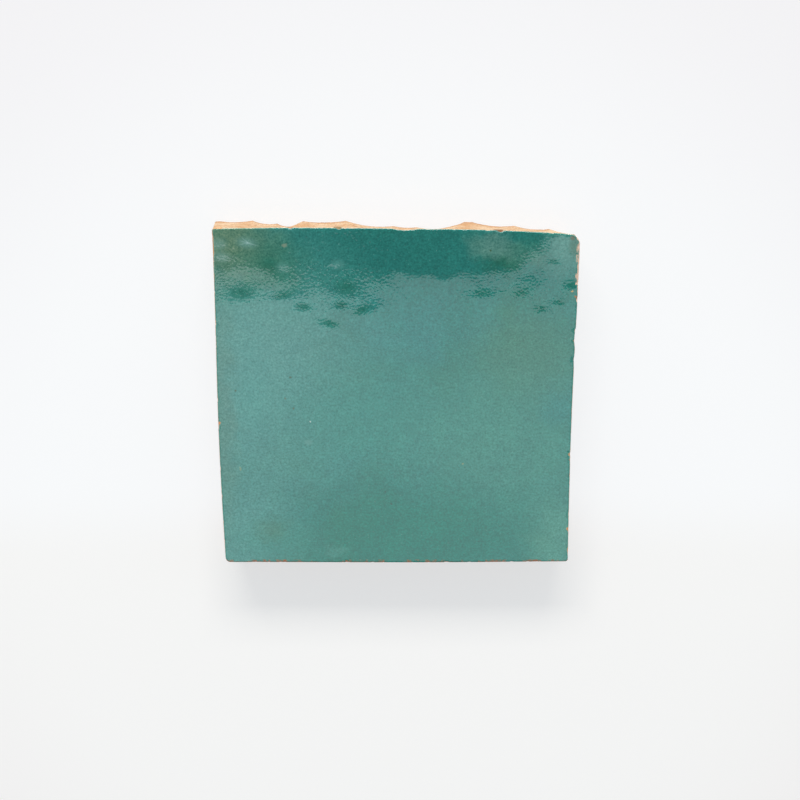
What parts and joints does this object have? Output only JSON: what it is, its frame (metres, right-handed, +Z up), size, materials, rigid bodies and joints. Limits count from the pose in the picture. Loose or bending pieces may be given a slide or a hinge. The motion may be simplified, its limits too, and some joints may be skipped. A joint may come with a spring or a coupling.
{
  "type": "zellige tile",
  "caption": "Square glazed clay tile with a waving teal face, uneven hand-cut edges struck back beneath the glaze, and a flat bare clay back.",
  "frame": {"origin": "middle of the flat clay back, which the tile lies on", "axes": "+Z up out of the glazed face; X and Y along the tile's two pairs of sides"},
  "size_m": [0.1008, 0.1006, 0.0112],
  "materials": {
    "glazed_clay": "glossy teal glaze on the face, bare peach-coloured fired clay on the sides and back"
  },
  "bodies": {
    "root": {"zellige_tile": "glazed_clay"}
  },
  "joints": []
}
